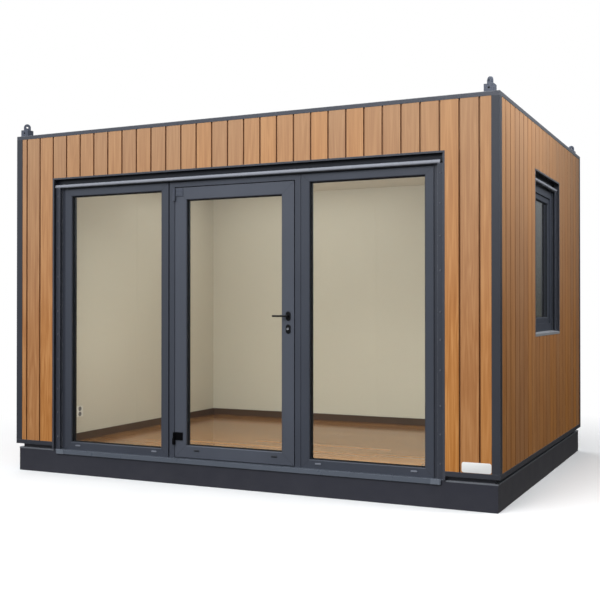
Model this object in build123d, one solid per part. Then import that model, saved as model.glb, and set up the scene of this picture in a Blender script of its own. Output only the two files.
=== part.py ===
"""Office container: a timber-clad cabin on a steel base frame, with a glazed front and an outward door."""
from build123d import *
import os

# Overall size of the cabin, in millimetres. X runs along the front, Y to the back, Z up from the ground.
width = 4100
depth = 3160
height = 2800

# Steel base frame, which shows as the plinth, with the upstand that carries the walls.
base_height = 192
base_inset = 20
base_beam_width = 80
base_plate = 6
base_drain_hole = 14
base_drain_spacing = 1200
joist_height = 100
joist_width = 50
joist_count = 7
upstand_inset = 45
shadow_gap = 32

# Bottom edge trim, wall build-up and corner posts.
trim_sheet = 3
bottom_trim_height = 34
cladding_thickness = 20
panel_thickness = 100
post_size = 57
post_wall = 5

# Floor, skirting, ceiling and roof.
floor_level = 170
floor_thickness = 30
skirting_height = 68
skirting_thickness = 15
roof_build_up = 200
roof_sheet_thickness = 4
roof_trim_height = 30
roof_trim_flange = 115
roof_rib_pitch = 250
roof_rib_height = 20
roof_rib_base = 50
roof_rib_crest = 26
roof_rib_end_gap = 20

# Lifting lugs at the roof corners: a square block with a bolt hole, and an eye plate set on the diagonal.
lug_block_size = 70
lug_block_height = 52
lug_block_wall = 6
lug_side_inset = 40
lug_end_inset = 5
lug_bolt_hole = 14
lug_eye_width = 56
lug_eye_height = 54
lug_eye_thickness = 20
lug_eye_hole = 18
lug_eye_chamfer = 3

# Front opening, as far from one end of the front wall as from the other.
front_opening_margin = 378
head_panel_height = 80
lintel_cover = 92
trim_face = 14

# Shutter parts: box over the opening, guide rails at its sides, bottom bar of the raised shutter.
box_height = 144
box_setback = 45
guide_width = 90
guide_gap = 15
guide_ridge = 40
guide_front = 24
guide_step = 60
slot_width = 14
slot_depth = 30
slot_setback = 12
bar_height = 26
bar_front = 18
bar_thickness = 24
bar_round = 10
bar_drop = 29
curtain_gap = 38
curtain_setback = 80
bar_end_gap = 1

# Window frames and glass, front and side.
frame_setback = 50
frame_depth = 68
frame_stile = 64
light_inner_stile = 68
light_head = 62
bead_chamfer = 5
glass_setback = 73
glass_thickness = 24
glass_rebate = 12
glass_edge_gap = 2

# Door unit between the two fixed lights.
side_light_width = 1006
door_gap_left = 11
door_gap_right = 3
joint_setback = 70
door_jamb = 46
door_head = 40
threshold_height = 3
stop_lip = 12
stop_depth = 8
stop_height = 16
leaf_thickness = 55
leaf_gap_hinge = 5
leaf_gap_latch = 7.5
leaf_gap_top = 6
leaf_gap_bottom = 5
leaf_stile = 103
leaf_top_rail = 96
leaf_bottom_rail = 93

# Door hinges on the outside of the frame.
hinge_height = 96
hinge_knuckle = 20
hinge_reach = 10
hinge_pin = 8
hinge_play = 0.5
hinge_plate = 5
hinge_leaf_width = 64
hinge_leaf_height = 60
hinge_jamb_width = 10
hinge_jamb_height = 46
hinge_low_offset = 95
hinge_top_offset = 6

# Lever handle and lock.
lever_above_floor = 1130
lever_backset = 46.5
lever_length = 122
lever_thickness = 12
lever_depth = 14
lever_projection = 46
lever_edge = 2.5
neck_size = 18
neck_play = 0.5
rose_width = 38
rose_height = 68
rose_thickness = 8
rose_edge = 2
lock_drop = 95
lock_barrel = 17
barrel_proud = 4

# Sill plates.
sill_plate = 4
sill_front = 8
sill_lip = 34
sill_lip_inset = 32

# Side window, measured along the right wall from the front.
window_start = 1115
window_width = 990
window_bottom = 1155
sash_width = 56
sash_proud = 10
sash_overlap = 8
window_sill_slope = 10
window_sill_lip = 20

# Double socket on the left wall.
socket_width = 88
socket_height = 96
socket_thickness = 12
socket_round = 6
socket_from_front = 672
socket_level = 430

# Levels and faces that follow from the sizes above.
wall_thickness = cladding_thickness + panel_thickness
trim_bottom = base_height + shadow_gap
panel_bottom = trim_bottom + trim_sheet
cladding_bottom = trim_bottom + bottom_trim_height
cladding_top = height - roof_trim_height
ceiling_level = height - roof_build_up
box_top = ceiling_level - head_panel_height
box_bottom = box_top - box_height
frame_top = box_bottom - curtain_gap
opening_top = box_top - lintel_cover
frame_back = frame_setback + frame_depth
frame_bottom = base_height + sill_plate
roof_sheet_top = height - roof_trim_height
roof_sheet_bottom = roof_sheet_top - roof_sheet_thickness
roof_panel_thickness = roof_sheet_bottom - ceiling_level
lever_level = floor_level + lever_above_floor

# Places along the front wall, from its left end.
front_opening_start = front_opening_margin
front_opening_end = width - front_opening_margin
guide_offset = trim_sheet + guide_width
left_light_start = front_opening_start + guide_offset
left_light_end = left_light_start + side_light_width
right_light_end = front_opening_end - guide_offset
right_light_start = right_light_end - side_light_width
door_start = left_light_end + door_gap_left
door_end = right_light_start - door_gap_right
leaf_start = door_start + door_jamb + leaf_gap_hinge
leaf_end = door_end - door_jamb - leaf_gap_latch
leaf_bottom = frame_bottom + threshold_height + leaf_gap_bottom
leaf_top = frame_top - door_head - leaf_gap_top
leaf_back = frame_setback + leaf_thickness
hinge_line = leaf_start - leaf_gap_hinge / 2
hinge_setback = frame_setback - hinge_reach
hinge_low = leaf_bottom + hinge_low_offset
hinge_high = leaf_top - hinge_top_offset - hinge_height
lever_line = leaf_end - lever_backset

# Places along the right wall, from the front.
window_end = window_start + window_width


def slab(x0, x1, y0, y1, z0, z1):
    """A plain block between two corners."""
    return Pos((x0 + x1) / 2, (y0 + y1) / 2, (z0 + z1) / 2) * Box(x1 - x0, y1 - y0, z1 - z0)


def ring(outer, inner, z0, z1):
    """A level band round the cabin, between two insets from the wall face."""
    solid = Pos(0, 0, (z0 + z1) / 2) * Box(width - 2 * outer, depth - 2 * outer, z1 - z0)
    return solid - Pos(0, 0, (z0 + z1) / 2) * Box(width - 2 * inner, depth - 2 * inner, z1 - z0)


def on_front(piece):
    """Front wall: along it from the left end, inwards from its face, up from the ground."""
    return Pos(-width / 2, -depth / 2, 0) * piece


def on_right(piece):
    """Right wall: along it from the front end, inwards from its face, up from the ground."""
    return Pos(width / 2, -depth / 2, 0) * Rot(0, 0, 90) * piece


def on_back(piece):
    """Back wall: along it from the right end, inwards from its face, up from the ground."""
    return Pos(width / 2, depth / 2, 0) * Rot(0, 0, 180) * piece


def on_left(piece):
    """Left wall: along it from the back end, inwards from its face, up from the ground."""
    return Pos(-width / 2, depth / 2, 0) * Rot(0, 0, -90) * piece


def mirrored(piece, middle):
    """The same piece on the other side of an opening whose middle lies at this place along the wall."""
    return mirror(piece, about=Plane(origin=(middle, 0, 0), z_dir=(1, 0, 0)))


# Base frame, floor and bottom trim


def channel_joist(length):
    """A C-section joist along Y, open to one side, its underside at zero."""
    solid = slab(0, joist_width, -length / 2, length / 2, 0, joist_height)
    return solid - slab(base_plate, joist_width, -length / 2, length / 2, base_plate, joist_height - base_plate)


def make_base_frame():
    """Perimeter of rectangular tube with drain holes underneath, and the upstand that the walls stand on."""
    beam_inner = base_inset + base_beam_width
    frame = ring(base_inset, beam_inner, 0, base_height)
    frame -= ring(base_inset + base_plate, beam_inner - base_plate, base_plate, base_height - base_plate)
    drain = Cylinder(base_drain_hole / 2, 4 * base_plate)
    along_x = int((width - 2 * beam_inner) // base_drain_spacing)
    along_y = int((depth - 2 * beam_inner) // base_drain_spacing)
    middle = base_inset + base_beam_width / 2
    frame -= [place * drain for place in GridLocations(base_drain_spacing, depth - 2 * middle, along_x, 2)]
    frame -= [place * drain for place in GridLocations(width - 2 * middle, base_drain_spacing, 2, along_y)]
    upstand = ring(upstand_inset, frame_back, base_height, trim_bottom)
    upstand -= on_front(slab(front_opening_start, front_opening_end, 0, wall_thickness, base_height, trim_bottom))
    return frame + upstand


def make_joists():
    """C-section joists under the floor, from the front beam to the back one."""
    beam_inner = base_inset + base_beam_width
    level = floor_level - floor_thickness - joist_height
    step = (width - 2 * beam_inner) / (joist_count + 1)
    joist = Pos(-joist_width / 2, 0, level) * channel_joist(depth - 2 * beam_inner)
    return Compound(children=[place * joist for place in GridLocations(step, 0, joist_count, 1)])


def make_floor():
    """Floor deck between the beams, carried by the joists."""
    inset = base_inset + base_beam_width
    return Pos(0, 0, floor_level - floor_thickness / 2) * Box(width - 2 * inset, depth - 2 * inset, floor_thickness)


def make_bottom_trim():
    trim = ring(0, trim_sheet, trim_bottom, cladding_bottom)
    trim += ring(0, frame_back, trim_bottom, panel_bottom)
    trim += ring(0, cladding_thickness, cladding_bottom - trim_sheet, cladding_bottom)
    return trim - on_front(slab(front_opening_start, front_opening_end, 0, wall_thickness, trim_bottom, cladding_bottom))


def make_skirting():
    inner = wall_thickness + skirting_thickness
    band = ring(wall_thickness, inner, floor_level, floor_level + skirting_height)
    gap = slab(front_opening_start, front_opening_end, wall_thickness, inner, floor_level, floor_level + skirting_height)
    return band - on_front(gap)


# Walls, posts and cladding


def make_corner_posts():
    tube = slab(0, post_size, 0, post_size, cladding_bottom, cladding_top)
    tube -= slab(post_wall, post_size - post_wall, post_wall, post_size - post_wall, cladding_bottom, cladding_top)
    return Compound(children=[on_front(tube), on_right(tube), on_back(tube), on_left(tube)])


def wall_panel(start, end, bottom, top):
    return slab(start, end, cladding_thickness, wall_thickness, bottom, top)


def cladding_sheet(length):
    return slab(post_size, length - post_size, 0, cladding_thickness, cladding_bottom, cladding_top)


def make_front_cladding():
    hole = slab(front_opening_start, front_opening_end, 0, cladding_thickness, cladding_bottom, opening_top)
    return on_front(cladding_sheet(width) - hole)


def make_right_cladding():
    hole = slab(window_start, window_end, 0, cladding_thickness, window_bottom, opening_top)
    lip_bottom = window_bottom - window_sill_lip + sill_plate
    lip = slab(window_start, window_end, 0, sill_plate, lip_bottom, window_bottom)
    return on_right(cladding_sheet(depth) - hole - lip)


# Roof


def roof_layer(bottom, thickness):
    """A layer of the roof inside the cladding, with its corners cut out round the posts."""
    size_x = width - 2 * cladding_thickness
    size_y = depth - 2 * cladding_thickness
    layer = Pos(0, 0, bottom + thickness / 2) * Box(size_x, size_y, thickness)
    corners = GridLocations(width - post_size, depth - post_size, 2, 2)
    return layer - [Pos(0, 0, bottom + thickness / 2) * c * Box(post_size, post_size, thickness) for c in corners]


def make_roof_panel():
    return roof_layer(ceiling_level, roof_panel_thickness)


def make_roof_sheet():
    sheet = roof_layer(roof_sheet_bottom, roof_sheet_thickness)
    rib_length = depth - 2 * (roof_trim_flange + roof_rib_end_gap)
    room = width - 2 * (roof_trim_flange + roof_rib_end_gap) - roof_rib_base
    rib_count = int(room // roof_rib_pitch) + 1
    section = Polyline(
        (-roof_rib_base / 2, 0),
        (roof_rib_base / 2, 0),
        (roof_rib_crest / 2, roof_rib_height),
        (-roof_rib_crest / 2, roof_rib_height),
        close=True,
    )
    rib = extrude(Plane.XZ * make_face(section), rib_length / 2, both=True)
    for i in range(rib_count):
        place = (i - (rib_count - 1) / 2) * roof_rib_pitch
        sheet += Pos(place, 0, roof_sheet_top) * rib
    return sheet


def make_roof_trim():
    trim = ring(0, trim_sheet, cladding_top, height)
    trim += ring(0, roof_trim_flange, height - trim_sheet, height)
    return trim + ring(roof_trim_flange - trim_sheet, roof_trim_flange, roof_sheet_top, height)


def lifting_lug():
    """Block and eye plate on the roof trim, seen from outside the corner, with the corner at the origin."""
    block = slab(0, lug_block_size, 0, lug_block_size, 0, lug_block_height)
    inside = lug_block_size - lug_block_wall
    block -= slab(lug_block_wall, inside, lug_block_wall, inside, 0, lug_block_height - lug_block_wall)
    bolt_hole = Pos(lug_block_size / 2, 0, lug_block_height / 2) * Rot(90, 0, 0)
    block -= bolt_hole * Cylinder(lug_bolt_hole / 2, 3 * lug_block_size)
    radius = lug_eye_width / 2
    straight = lug_eye_height - radius
    outline = Pos(0, straight / 2) * Rectangle(lug_eye_width, straight)
    outline += Pos(0, straight) * Circle(radius)
    plate = extrude(Plane.XZ * outline, lug_eye_thickness / 2, both=True)
    rims = plate.faces().filter_by(Axis.Y).edges()
    plate = chamfer([edge for edge in rims if edge.center().Z > 1], lug_eye_chamfer)
    plate -= Pos(0, 0, straight) * Rot(90, 0, 0) * Cylinder(lug_eye_hole / 2, 2 * lug_eye_thickness)
    middle = lug_block_size / 2
    return block + Pos(middle, middle, lug_block_height) * Rot(0, 0, 45) * plate


def make_lifting_lugs():
    lug = Pos(lug_side_inset, lug_end_inset, height) * lifting_lug()
    front_left = on_front(lug)
    front_right = mirror(front_left, about=Plane.YZ)
    back_left = mirror(front_left, about=Plane.XZ)
    back_right = mirror(back_left, about=Plane.YZ)
    return Compound(children=[front_left, front_right, back_left, back_right])


# Trims, shutter and sills of the openings


def opening_trim(start, end, bottom):
    """Folded trim at the two sides and the top of an opening, lipped over the cladding's cut edge."""
    face = slab(start, end, 0, trim_sheet, bottom, opening_top)
    face -= slab(start + trim_face, end - trim_face, 0, trim_sheet, bottom, opening_top - trim_face)
    side = slab(start, start + trim_sheet, trim_sheet, frame_back, bottom, opening_top)
    head = slab(start, end, trim_sheet, box_setback, opening_top - trim_sheet, opening_top)
    return face + side + mirrored(side, (start + end) / 2) + head


def shutter_box(start, end):
    """Closed box over an opening, stepped back below the cladding's edge, and again where the slats come out."""
    box = slab(start + trim_sheet, end - trim_sheet, box_setback, frame_back, box_bottom, box_top)
    box += slab(start + guide_offset, end - guide_offset, curtain_setback, frame_back, frame_top, box_bottom)
    return box + slab(start + trim_sheet, end - trim_sheet, cladding_thickness, frame_back, opening_top, box_top)


def guide_rail(start, bottom):
    """Guide rail at the left side of an opening: carrier, raised front ridge and the slot for the slats."""
    ridge_start = start + guide_gap
    ridge_end = ridge_start + guide_ridge
    carrier = slab(start, start + guide_width, guide_step, frame_back, bottom, box_bottom - bar_drop)
    ridge = slab(ridge_start, ridge_end, guide_front, guide_step, bottom, box_bottom - bar_drop)
    slot_front = guide_front + slot_setback
    slot = slab(ridge_end - slot_depth, ridge_end, slot_front, slot_front + slot_width, bottom, box_bottom - bar_drop)
    top = slab(start, start + guide_width, box_setback, frame_back, box_bottom - bar_drop, box_bottom)
    return carrier + ridge - slot + top


def guide_pair(start, end, bottom):
    rail = guide_rail(start + trim_sheet, bottom)
    return [rail, mirrored(rail, (start + end) / 2)]


def shutter_bar(start, end):
    """Bottom bar of the raised shutter, lying across the tops of the guide rails."""
    length = end - start - 2 * (trim_sheet + bar_end_gap)
    section = RectangleRounded(bar_thickness, bar_height, bar_round)
    bar = extrude(Plane.YZ * section, length / 2, both=True)
    bottom = box_bottom - bar_drop
    return Pos((start + end) / 2, bar_front + bar_thickness / 2, bottom + bar_height / 2) * bar


def make_front_sill_plate():
    start = front_opening_start + trim_sheet
    end = front_opening_end - trim_sheet
    lip_start = front_opening_start + sill_lip_inset
    lip_end = front_opening_end - sill_lip_inset
    plate = slab(start, end, base_inset, frame_back, base_height, frame_bottom)
    plate += slab(lip_start, lip_end, sill_front, base_inset, base_height, frame_bottom)
    plate += slab(lip_start, lip_end, sill_front, sill_front + sill_plate, frame_bottom - sill_lip, frame_bottom)
    plate += slab(start, end, frame_back - sill_plate, frame_back, floor_level, base_height)
    return on_front(plate)


def make_window_sill_plate():
    """Sloped sill of the side window, from its frame down to a lip over the cladding."""
    start = window_start + trim_sheet
    end = window_end - trim_sheet
    section = Polyline(
        (0, window_bottom - window_sill_lip + sill_plate),
        (sill_plate, window_bottom - window_sill_lip + sill_plate),
        (sill_plate, window_bottom),
        (frame_back, window_bottom),
        (frame_back, window_bottom + window_sill_slope + sill_plate),
        (frame_setback, window_bottom + window_sill_slope + sill_plate),
        (0, window_bottom + sill_plate),
        close=True,
    )
    solid = extrude(Plane.YZ * make_face(section), (end - start) / 2, both=True)
    return on_right(Pos((start + end) / 2, 0, 0) * solid)


# Glazed frames and the door


def glazed_frame(start, end, bottom, top, left, right, low, high, front, back):
    """A frame with its daylight opening chamfered outside and a groove inside for the glass; and the glass."""
    day_start = start + left
    day_end = end - right
    day_bottom = bottom + low
    day_top = top - high
    frame = slab(start, end, front, back, bottom, top)
    frame -= slab(day_start, day_end, front, back, day_bottom, day_top)
    middle = ((day_start + day_end) / 2, front, (day_bottom + day_top) / 2)
    mouth = Plane(origin=middle, x_dir=(1, 0, 0), z_dir=(0, 1, 0))
    splay = Rectangle(day_end - day_start + 2 * bead_chamfer, day_top - day_bottom + 2 * bead_chamfer)
    frame -= extrude(mouth * splay, bead_chamfer, taper=45)
    glass_back = glass_setback + glass_thickness
    groove = glass_rebate + glass_edge_gap
    frame -= slab(day_start - groove, day_end + groove, glass_setback, glass_back, day_bottom - groove, day_top + groove)
    hold = glass_rebate
    glass = slab(day_start - hold, day_end + hold, glass_setback, glass_back, day_bottom - groove, day_top + hold)
    return frame, glass


def make_left_light():
    return glazed_frame(
        left_light_start, left_light_end, frame_bottom, frame_top,
        frame_stile, light_inner_stile, frame_stile, light_head, frame_setback, frame_back,
    )


def make_door_frame():
    """Jambs, head, low threshold and the stop lips behind the leaf; a set-back strip closes the left joint."""
    frame = slab(door_start, door_end, frame_setback, frame_back, frame_bottom, frame_top)
    hole_start = door_start + door_jamb
    hole_end = door_end - door_jamb
    hole_bottom = frame_bottom + threshold_height
    hole_top = frame_top - door_head
    stop_front = frame_back - stop_depth
    frame -= slab(hole_start, hole_end, frame_setback, stop_front, hole_bottom, hole_top)
    frame -= slab(
        hole_start + stop_lip, hole_end - stop_lip, stop_front, frame_back,
        frame_bottom + stop_height, hole_top - stop_lip,
    )
    frame += slab(left_light_end, door_start, joint_setback, frame_back, frame_bottom, frame_top)
    return frame + slab(door_end, right_light_start, joint_setback, frame_back, frame_bottom, frame_top)


def make_door_leaf():
    leaf, glass = glazed_frame(
        leaf_start, leaf_end, leaf_bottom, leaf_top,
        leaf_stile, leaf_stile, leaf_bottom_rail, leaf_top_rail, frame_setback, leaf_back,
    )
    through = Pos(lever_line, frame_setback, lever_level) * Rot(90, 0, 0)
    leaf -= through * Cylinder(neck_size / 2 + neck_play, 4 * leaf_thickness)
    lock = Pos(lever_line, frame_setback, lever_level - lock_drop) * Rot(90, 0, 0)
    leaf -= lock * Cylinder(lock_barrel / 2 + neck_play, 4 * leaf_thickness)
    return leaf, glass


def make_hinges(low):
    """One hinge with its underside at this level: the jamb's low half with the pin and its cap, and the leaf's."""
    third = hinge_height / 3
    radius = hinge_knuckle / 2
    axis = Pos(hinge_line, hinge_setback, low)
    face = frame_setback - hinge_plate
    jamb_edge = hinge_line - radius - hinge_play
    jamb = slab(jamb_edge - hinge_jamb_width, jamb_edge, face, frame_setback, low, low + hinge_jamb_height)
    jamb += slab(jamb_edge, hinge_line, face, frame_setback, low, low + third - hinge_play / 2)
    jamb += axis * Pos(0, 0, (third - hinge_play / 2) / 2) * Cylinder(radius, third - hinge_play / 2)
    jamb += axis * Pos(0, 0, 2.5 * third + hinge_play / 4) * Cylinder(radius, third - hinge_play / 2)
    jamb += axis * Pos(0, 0, hinge_height / 2) * Cylinder(hinge_pin / 2, hinge_height)
    leaf_edge = hinge_line + radius + hinge_play
    leaf_low = low + hinge_height - hinge_leaf_height
    leaf = slab(leaf_edge, leaf_edge + hinge_leaf_width, face, frame_setback, leaf_low, low + hinge_height)
    leaf += axis * Pos(0, 0, hinge_height / 2) * Cylinder(radius, third - hinge_play)
    level_high = low + 2 * third - hinge_play / 2
    leaf += slab(hinge_line, leaf_edge, face, frame_setback, leaf_low, level_high)
    leaf -= axis * Pos(0, 0, hinge_height / 2) * Cylinder(hinge_pin / 2 + hinge_play, hinge_height)
    return jamb, leaf


def rounded_plate(front, level):
    """A long round-ended plate on the leaf's stile, its outer edge softened."""
    outline = SlotOverall(rose_height, rose_width, rotation=90)
    plate = extrude(Plane.XZ * outline, rose_thickness)
    plate = chamfer(plate.faces().sort_by(Axis.Y)[0].edges(), rose_edge)
    return Pos(lever_line, front + rose_thickness, level) * plate


def make_lock_plates():
    """Roses outside and inside, and the two lock plates joined by the lock's barrel."""
    middle_of_leaf = Plane(origin=(0, (frame_setback + leaf_back) / 2, 0), z_dir=(0, 1, 0))
    outer_rose = rounded_plate(frame_setback - rose_thickness, lever_level)
    outer_rose -= Pos(lever_line, frame_setback, lever_level) * Rot(90, 0, 0) * Cylinder(
        neck_size / 2 + neck_play, 4 * rose_thickness
    )
    inner_rose = mirror(outer_rose, about=middle_of_leaf)
    lock_level = lever_level - lock_drop
    outer_plate = rounded_plate(frame_setback - rose_thickness, lock_level)
    lock = outer_plate + mirror(outer_plate, about=middle_of_leaf)
    barrel_length = leaf_thickness + 2 * (rose_thickness + barrel_proud)
    lock += Pos(lever_line, (frame_setback + leaf_back) / 2, lock_level) * Rot(90, 0, 0) * Cylinder(
        lock_barrel / 2, barrel_length
    )
    return Compound(children=[outer_rose, inner_rose, lock])


def make_lever():
    """Lever outside and inside on one neck through the leaf; the levers point towards the hinges."""
    outline = Pos(-lever_length / 2 + lever_depth / 2, 0) * SlotOverall(lever_length, lever_depth)
    arm = extrude(Plane.XZ * outline, lever_thickness)
    arm = chamfer(arm.faces().filter_by(Axis.Y).edges(), lever_edge)
    front = frame_setback - lever_projection
    outer = Pos(lever_line, front + lever_thickness, lever_level) * arm
    middle = (frame_setback + leaf_back) / 2
    inner = mirror(outer, about=Plane(origin=(0, middle, 0), z_dir=(0, 1, 0)))
    neck_length = leaf_thickness + 2 * lever_projection - lever_thickness
    neck = Pos(lever_line, middle, lever_level) * Rot(90, 0, 0) * Cylinder(neck_size / 2, neck_length)
    return outer + neck + inner


def make_window():
    """Side window: frame, sash with its glass, both set back in the wall."""
    start = window_start + guide_offset
    end = window_end - guide_offset
    bottom = window_bottom + window_sill_slope + sill_plate
    frame = slab(start, end, frame_setback, frame_back, bottom, frame_top)
    inner = (start + frame_stile, end - frame_stile, bottom + frame_stile, frame_top - light_head)
    frame -= slab(inner[0], inner[1], frame_setback, frame_back, inner[2], inner[3])
    sash_front = frame_setback + sash_proud
    lap = sash_overlap
    frame -= slab(inner[0] - lap, inner[1] + lap, sash_front, frame_back, inner[2] - lap, inner[3] + lap)
    sash, glass = glazed_frame(
        inner[0] - lap, inner[1] + lap, inner[2] - lap, inner[3] + lap,
        sash_width, sash_width, sash_width, sash_width, sash_front, frame_back,
    )
    return frame, sash, glass


def make_socket():
    plate = extrude(Plane.YZ * RectangleRounded(socket_width, socket_height, socket_round), socket_thickness)
    return Pos(-width / 2 + wall_thickness, -depth / 2 + socket_from_front, socket_level) * plate


# Nodes


def build_nodes():
    nodes = {}
    nodes["base_frame"] = make_base_frame()
    nodes["floor_joists"] = make_joists()
    nodes["floor_deck"] = make_floor()
    nodes["bottom_trim"] = make_bottom_trim()
    nodes["skirting"] = make_skirting()
    nodes["corner_posts"] = make_corner_posts()

    wall_top = ceiling_level
    front_end = width - post_size
    side_end = depth - wall_thickness
    nodes["front_wall_left"] = on_front(wall_panel(post_size, front_opening_start, panel_bottom, wall_top))
    nodes["front_wall_right"] = on_front(wall_panel(front_opening_end, front_end, panel_bottom, wall_top))
    nodes["front_wall_head"] = on_front(wall_panel(front_opening_start, front_opening_end, box_top, wall_top))
    nodes["back_wall"] = on_back(wall_panel(post_size, front_end, panel_bottom, wall_top))
    nodes["left_wall"] = on_left(wall_panel(wall_thickness, side_end, panel_bottom, wall_top))
    nodes["right_wall_front"] = on_right(wall_panel(wall_thickness, window_start, panel_bottom, wall_top))
    nodes["right_wall_back"] = on_right(wall_panel(window_end, side_end, panel_bottom, wall_top))
    nodes["right_wall_below"] = on_right(wall_panel(window_start, window_end, panel_bottom, window_bottom))
    nodes["right_wall_above"] = on_right(wall_panel(window_start, window_end, box_top, wall_top))
    nodes["front_cladding"] = make_front_cladding()
    nodes["right_cladding"] = make_right_cladding()
    nodes["back_cladding"] = on_back(cladding_sheet(width))
    nodes["left_cladding"] = on_left(cladding_sheet(depth))

    nodes["roof_panel"] = make_roof_panel()
    nodes["roof_sheet"] = make_roof_sheet()
    nodes["roof_trim"] = make_roof_trim()
    nodes["lifting_lugs"] = make_lifting_lugs()

    nodes["front_opening_trim"] = on_front(opening_trim(front_opening_start, front_opening_end, frame_bottom))
    nodes["front_sill_plate"] = make_front_sill_plate()
    nodes["window_sill_plate"] = make_window_sill_plate()
    window_trim = on_right(opening_trim(window_start, window_end, window_bottom))
    nodes["window_trim"] = window_trim - nodes["window_sill_plate"]
    window_foot = window_bottom + window_sill_slope + sill_plate
    nodes["shutter_boxes"] = Compound(children=[
        on_front(shutter_box(front_opening_start, front_opening_end)),
        on_right(shutter_box(window_start, window_end)),
    ])
    front_guides = guide_pair(front_opening_start, front_opening_end, frame_bottom)
    side_guides = guide_pair(window_start, window_end, window_foot)
    nodes["shutter_guides"] = Compound(children=[
        *[on_front(rail) for rail in front_guides],
        *[on_right(rail) for rail in side_guides],
    ])
    nodes["shutter_bars"] = Compound(children=[
        on_front(shutter_bar(front_opening_start, front_opening_end)),
        on_right(shutter_bar(window_start, window_end)),
    ])

    light_frame, light_glass = make_left_light()
    front_middle = width / 2
    nodes["left_light_frame"] = on_front(light_frame)
    nodes["left_light_glass"] = on_front(light_glass)
    nodes["right_light_frame"] = on_front(mirrored(light_frame, front_middle))
    nodes["right_light_glass"] = on_front(mirrored(light_glass, front_middle))
    nodes["door_frame"] = on_front(make_door_frame())
    leaf, leaf_glass = make_door_leaf()
    nodes["door_leaf"] = on_front(leaf)
    nodes["door_glass"] = on_front(leaf_glass)
    low_jamb, low_leaf = make_hinges(hinge_low)
    high_jamb, high_leaf = make_hinges(hinge_high)
    nodes["hinge_jamb_plates"] = Compound(children=[on_front(low_jamb), on_front(high_jamb)])
    nodes["hinge_leaf_plates"] = Compound(children=[on_front(low_leaf), on_front(high_leaf)])
    nodes["lock_plates"] = on_front(make_lock_plates())
    nodes["door_lever"] = on_front(make_lever())

    window_frame, window_sash, window_glass = make_window()
    nodes["window_frame"] = on_right(window_frame)
    nodes["window_sash"] = on_right(window_sash)
    nodes["window_glass"] = on_right(window_glass)
    nodes["wall_socket"] = make_socket()
    return nodes


os.makedirs("parts", exist_ok=True)
for name, piece in build_nodes().items():
    export_step(piece, f"parts/{name}.step")
print("hinge axis x, y:", hinge_line - width / 2, hinge_setback - depth / 2)
print("lever axis x, z:", lever_line - width / 2, lever_level)
print("frame back y:", frame_back - depth / 2, "leaf:", leaf_start, leaf_end, leaf_bottom, leaf_top)
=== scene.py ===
import math
import random
import bmesh
import bpy
from mathutils import Matrix, Vector


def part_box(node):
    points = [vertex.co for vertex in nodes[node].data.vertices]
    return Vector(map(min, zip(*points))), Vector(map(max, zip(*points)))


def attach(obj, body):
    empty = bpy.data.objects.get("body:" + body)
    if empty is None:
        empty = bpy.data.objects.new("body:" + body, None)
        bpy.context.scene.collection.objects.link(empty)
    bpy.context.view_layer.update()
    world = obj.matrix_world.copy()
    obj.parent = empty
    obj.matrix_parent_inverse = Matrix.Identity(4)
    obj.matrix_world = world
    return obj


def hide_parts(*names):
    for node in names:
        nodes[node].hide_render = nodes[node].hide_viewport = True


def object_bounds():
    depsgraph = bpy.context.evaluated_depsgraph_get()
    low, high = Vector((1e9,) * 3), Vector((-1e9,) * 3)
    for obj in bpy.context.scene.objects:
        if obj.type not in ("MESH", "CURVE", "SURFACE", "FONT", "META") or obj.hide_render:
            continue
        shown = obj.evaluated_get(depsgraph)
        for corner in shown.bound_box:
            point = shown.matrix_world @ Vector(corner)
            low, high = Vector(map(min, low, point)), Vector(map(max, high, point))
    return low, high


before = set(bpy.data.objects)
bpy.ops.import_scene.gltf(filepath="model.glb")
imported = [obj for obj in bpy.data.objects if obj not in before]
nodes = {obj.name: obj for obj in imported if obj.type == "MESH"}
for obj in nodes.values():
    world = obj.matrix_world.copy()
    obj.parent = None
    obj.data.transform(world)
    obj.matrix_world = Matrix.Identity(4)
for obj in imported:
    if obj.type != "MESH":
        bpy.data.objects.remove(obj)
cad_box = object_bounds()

random.seed(7)

# Base frame. Welded steel tube round the edge shows as the plinth, with joists under the floor, all under one
# anthracite powder coat that gathers dust low down. A folded strip of paler sheet is glued along the plinth's
# top edge; its paler tone is a painted highlight for the light that edge catches.

wide = cad_box[1][0] - cad_box[0][0]
deep = cad_box[1][1] - cad_box[0][1]

# Wall frames: along the wall from its left end seen from outside, inwards from its face, and up.
walls = {
    "front": Matrix.Translation((-wide / 2, -deep / 2, 0)),
    "right": Matrix.Translation((wide / 2, -deep / 2, 0)) @ Matrix.Rotation(math.radians(90), 4, "Z"),
    "back": Matrix.Translation((wide / 2, deep / 2, 0)) @ Matrix.Rotation(math.radians(180), 4, "Z"),
    "left": Matrix.Translation((-wide / 2, deep / 2, 0)) @ Matrix.Rotation(math.radians(-90), 4, "Z"),
}
wall_lengths = {"front": wide, "right": deep, "back": wide, "left": deep}


def screen(red, green, blue):
    """A screen colour, 0 to 255 a channel, as the linear colour that a shader takes."""
    values = [v / 255 for v in (red, green, blue)]
    linear = [v / 12.92 if v <= 0.04045 else ((v + 0.055) / 1.055) ** 2.4 for v in values]
    return (*linear, 1.0)


def add(tree, kind, inputs=None, **settings):
    """One shader node. inputs gives its sockets a value or the output that feeds them."""
    made = tree.nodes.new(kind)
    for field, value in settings.items():
        setattr(made, field, value)
    for socket, value in (inputs or {}).items():
        if isinstance(value, bpy.types.NodeSocket):
            tree.links.new(value, made.inputs[socket])
        else:
            made.inputs[socket].default_value = value
    return made


def begin(name):
    material = bpy.data.materials.new(name)
    material.use_nodes = True
    material.node_tree.nodes.clear()
    return material, material.node_tree


def finish(tree, shader):
    add(tree, "ShaderNodeOutputMaterial", {"Surface": shader})


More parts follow.
